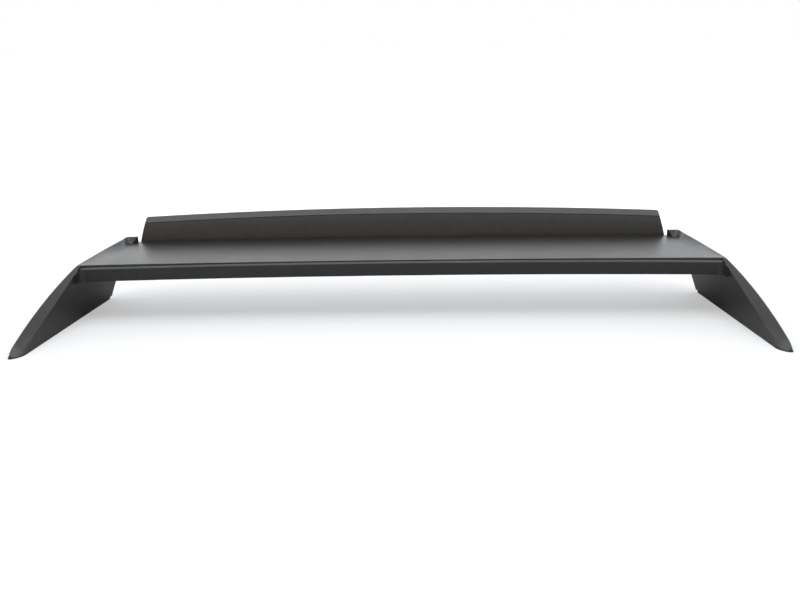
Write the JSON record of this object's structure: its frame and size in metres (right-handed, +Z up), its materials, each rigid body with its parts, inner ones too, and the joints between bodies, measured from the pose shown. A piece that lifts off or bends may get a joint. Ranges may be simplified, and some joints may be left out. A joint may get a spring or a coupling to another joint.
{
  "type": "boot spoiler",
  "caption": "Boot-lid spoiler: a wide moulded wing on two splayed legs with long pointed toes and raised end rims, and an upright flap screwed to its trailing edge.",
  "frame": {"origin": "middle of the spoiler's plan, on the boot lid that its feet rest on", "axes": "+X across the car, -Y towards the front of the car and the toes, +Y towards the rear and the flap, +Z up"},
  "size_m": [1.299, 0.423, 0.1665],
  "materials": {
    "wing_plastic": "satin, fine moulded grain",
    "flap_plastic": "satin, fine moulded grain",
    "screw_steel": "black oxide",
    "insert_brass": "turned"
  },
  "bodies": {
    "root": {"wing_body": "wing_plastic", "flap": "flap_plastic", "flap_screws": "screw_steel", "foot_inserts": "insert_brass"}
  },
  "joints": []
}
